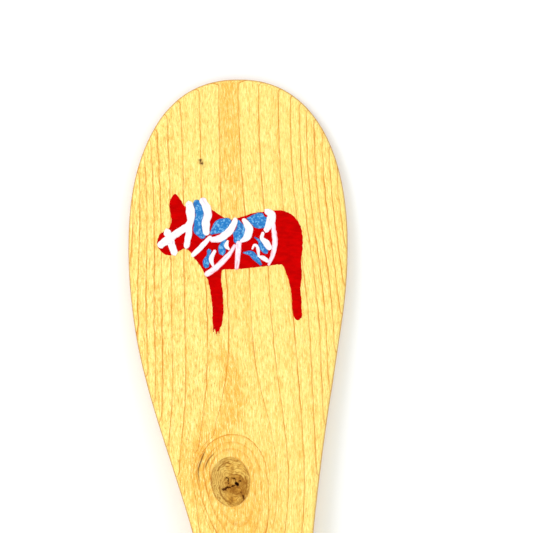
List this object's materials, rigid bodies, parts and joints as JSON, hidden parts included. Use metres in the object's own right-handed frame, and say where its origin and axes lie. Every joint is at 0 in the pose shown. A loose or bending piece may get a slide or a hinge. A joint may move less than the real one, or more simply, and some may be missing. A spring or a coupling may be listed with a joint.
{
  "type": "painted wooden spreading spoon",
  "caption": "Flat pale-wood spreading spoon with a rounded blade, a slim offset handle, a grown-in knot and a small folk horse painted in red, white and blue.",
  "frame": {"origin": "middle of the bounding box's underside: midway along the spoon, on the blade's middle line, on the flat underside", "axes": "+Y along the spoon towards the blade's tip, +Z out of the painted face, +X to the right of the painting"},
  "size_m": [0.032, 0.175, 0.0075],
  "materials": {
    "wood": "smooth, bare, lightly oiled",
    "knot_wood": "smooth, dense end grain",
    "red_paint": "satin brushed acrylic, opaque",
    "white_paint": "satin brushed acrylic, nearly opaque",
    "thin_white_paint": "satin brushed acrylic, thin enough for the red to show",
    "blue_paint": "satin brushed acrylic, mottled"
  },
  "bodies": {
    "root": {"spoon_body": "wood", "knot": "knot_wood", "horse_coat": "red_paint", "bridle_crown": "white_paint", "bridle_cheek": "white_paint", "bridle_nose": "white_paint", "mane_white": "white_paint", "breast_collar": "white_paint", "saddle_front_white": "white_paint", "saddle_middle_white": "white_paint", "saddle_rear_white": "white_paint", "chest_leaf_white": "white_paint", "shoulder_leaf_white": "white_paint", "belly_hook_white": "white_paint", "belly_leaf_white": "white_paint", "flank_leaf_white": "white_paint", "breeching": "thin_white_paint", "girth": "thin_white_paint", "chest_strap": "thin_white_paint", "mane_blue": "blue_paint", "saddle_front_blue": "blue_paint", "saddle_middle_blue": "blue_paint", "saddle_rear_blue": "blue_paint", "chest_leaf_blue": "blue_paint", "shoulder_leaf_blue": "blue_paint", "belly_leaf_blue": "blue_paint", "flank_leaf_blue": "blue_paint"}
  },
  "joints": []
}
